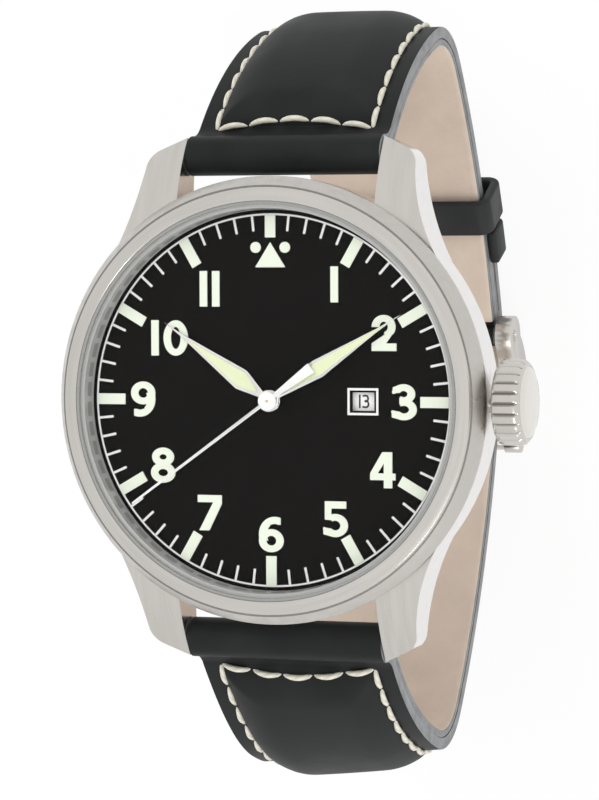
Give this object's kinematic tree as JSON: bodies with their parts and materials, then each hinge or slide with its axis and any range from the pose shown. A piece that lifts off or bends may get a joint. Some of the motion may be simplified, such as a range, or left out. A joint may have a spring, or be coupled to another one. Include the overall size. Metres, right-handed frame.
{
  "type": "wristwatch",
  "caption": "Round steel pilot watch with a black dial, luminous numerals, fluted crown and automatic movement, on a padded black leather strap closed by a pin buckle.",
  "frame": {"origin": "centre of the case back's outer face", "axes": "+Z out of the dial, +Y towards 12 o'clock, +X towards the crown at 3 o'clock"},
  "size_m": [0.0516, 0.0855, 0.0634],
  "materials": {
    "polished_steel": "polished stainless steel",
    "brushed_steel": "brushed stainless steel",
    "satin_steel": "satin steel",
    "hand_steel": "polished steel",
    "crystal_glass": "clear, polished",
    "black_rubber": "matt",
    "dial_black": "matt black",
    "print_white": "matt white print",
    "print_black": "matt black print",
    "lume": "pale luminous paint",
    "plated_brass": "rhodium plated, satin",
    "brass": "gilt",
    "blued_steel": "blued",
    "ruby": "polished synthetic ruby",
    "black_leather": "grained, semi matt",
    "tan_leather": "smooth lining"
  },
  "bodies": {
    "case": {"case_middle": "polished_steel", "bezel": "brushed_steel", "flange_ring": "satin_steel", "crystal": "crystal_glass", "crystal_gasket": "black_rubber", "case_back": "brushed_steel", "case_back_window": "crystal_glass", "window_gasket": "black_rubber", "case_back_gasket": "black_rubber", "crown_tube": "satin_steel", "dial": "dial_black", "dial_print": "print_white", "hour_markers": "lume", "numerals": "lume", "main_plate": "plated_brass", "barrel_bridge": "plated_brass", "train_bridge": "plated_brass", "balance_cock": "plated_brass", "movement_screws": "blued_steel", "jewels": "ruby", "movement_ring": "satin_steel", "casing_clamps": "satin_steel", "rotor_hub": "satin_steel", "spring_bars": "satin_steel", "strap_12_leather": "black_leather", "strap_12_lining": "tan_leather", "strap_6_leather": "black_leather", "strap_6_lining": "tan_leather", "keeper_fixed": "black_leather"},
    "crown_sleeve": {"winding_pinion": "satin_steel", "sliding_pinion": "satin_steel"},
    "crown": {"crown": "brushed_steel", "winding_stem": "satin_steel", "crown_gasket": "black_rubber"},
    "crown_wheel": {"crown_wheel": "satin_steel"},
    "ratchet_wheel": {"ratchet_wheel": "satin_steel"},
    "barrel": {"barrel": "brass", "mainspring": "satin_steel"},
    "centre_wheel": {"centre_wheel": "brass"},
    "third_wheel": {"third_wheel": "brass"},
    "fourth_wheel": {"fourth_wheel": "brass", "seconds_hand": "hand_steel"},
    "escape_wheel": {"escape_wheel": "satin_steel"},
    "pallet_fork": {"pallet_fork": "satin_steel"},
    "balance": {"balance_wheel": "brass", "hairspring": "blued_steel"},
    "minute_hand": {"cannon_pinion": "satin_steel", "minute_hand": "hand_steel", "minute_hand_lume": "lume"},
    "minute_wheel": {"minute_wheel": "brass"},
    "hour_hand": {"hour_wheel": "brass", "hour_hand": "hand_steel", "hour_hand_lume": "lume"},
    "date_ring": {"date_ring": "print_white", "date_digits": "print_black"},
    "rotor": {"rotor": "satin_steel"},
    "keeper_free": {"keeper_free": "black_leather"},
    "buckle": {"buckle_frame": "brushed_steel", "buckle_bar": "satin_steel"},
    "buckle_tongue": {"buckle_tongue": "brushed_steel"}
  },
  "joints": [
    {"name": "crown_turn", "type": "hinge", "parent": "case", "child": "crown_sleeve", "pos_m": [0, 0, 0.0054], "axis": [1, 0, 0], "continuous": true},
    {"name": "crown_pull", "type": "slide", "parent": "crown_sleeve", "child": "crown", "axis": [1, 0, 0], "range_m": [0, 0.0015]},
    {"name": "crown_wheel_turn", "type": "hinge", "parent": "case", "child": "crown_wheel", "pos_m": [0.00604, 0.00293, 0.0032], "axis": [0, 0, 1], "continuous": true},
    {"name": "ratchet_turn", "type": "hinge", "parent": "case", "child": "ratchet_wheel", "pos_m": [0.00162, 0.00603, 0.0032], "axis": [0, 0, 1], "continuous": true},
    {"name": "seconds_turn", "type": "hinge", "parent": "case", "child": "fourth_wheel", "pos_m": [0, 0, 0.0091], "axis": [0, 0, -1], "continuous": true},
    {"name": "third_turn", "type": "hinge", "parent": "case", "child": "third_wheel", "pos_m": [-0.00244, -0.00348, 0.0043], "axis": [0, 0, -1], "continuous": true},
    {"name": "centre_turn", "type": "hinge", "parent": "case", "child": "centre_wheel", "pos_m": [0, 0, 0.005], "axis": [0, 0, -1], "continuous": true},
    {"name": "barrel_turn", "type": "hinge", "parent": "case", "child": "barrel", "pos_m": [0.00162, 0.00603, 0.0055], "axis": [0, 0, -1], "continuous": true},
    {"name": "escape_turn", "type": "hinge", "parent": "case", "child": "escape_wheel", "pos_m": [0.00205, -0.00355, 0.0048], "axis": [0, 0, -1], "continuous": true},
    {"name": "pallet_swing", "type": "hinge", "parent": "case", "child": "pallet_fork", "pos_m": [0.00424, -0.00481, 0.0048], "axis": [0, 0, 1], "range_deg": [-4, 4]},
    {"name": "balance_swing", "type": "hinge", "parent": "case", "child": "balance", "pos_m": [0.00559, -0.00559, 0.004], "axis": [0, 0, 1], "range_deg": [-135, 135], "stiffness_Nm_per_rad": 0.0000002},
    {"name": "minute_turn", "type": "hinge", "parent": "case", "child": "minute_hand", "pos_m": [0, 0, 0.0087], "axis": [0, 0, -1], "continuous": true},
    {"name": "minute_wheel_turn", "type": "hinge", "parent": "case", "child": "minute_wheel", "pos_m": [-0.00144, 0.00249, 0.0068], "axis": [0, 0, -1], "continuous": true},
    {"name": "hour_turn", "type": "hinge", "parent": "case", "child": "hour_hand", "pos_m": [0, 0, 0.0083], "axis": [0, 0, -1], "continuous": true},
    {"name": "date_turn", "type": "hinge", "parent": "case", "child": "date_ring", "pos_m": [0, 0, 0.0072], "axis": [0, 0, -1], "continuous": true},
    {"name": "rotor_turn", "type": "hinge", "parent": "case", "child": "rotor", "pos_m": [0, 0, 0.0023], "axis": [0, 0, 1], "continuous": true},
    {"name": "keeper_slide", "type": "slide", "parent": "case", "child": "keeper_free", "axis": [0, 0.8763, 0.4818], "range_m": [0, 0.0025]},
    {"name": "buckle_swing", "type": "hinge", "parent": "case", "child": "buckle", "pos_m": [0, 0.00542, -0.04549], "axis": [1, 0, 0], "range_deg": [0, 10]},
    {"name": "tongue_swing", "type": "hinge", "parent": "buckle", "child": "buckle_tongue", "pos_m": [0, 0.00542, -0.04549], "axis": [1, 0, 0], "range_deg": [0, 25]}
  ],
  "couplings": [
    {"joint": "crown_wheel_turn", "follows": "crown_turn", "ratio": 0.3},
    {"joint": "ratchet_turn", "follows": "crown_turn", "ratio": -0.24},
    {"joint": "third_turn", "follows": "seconds_turn", "ratio": -0.125},
    {"joint": "centre_turn", "follows": "seconds_turn", "ratio": 0.016667},
    {"joint": "barrel_turn", "follows": "seconds_turn", "ratio": -0.002381},
    {"joint": "escape_turn", "follows": "seconds_turn", "ratio": -12},
    {"joint": "minute_wheel_turn", "follows": "minute_turn", "ratio": -0.33333},
    {"joint": "hour_turn", "follows": "minute_turn", "ratio": 0.083333}
  ]
}
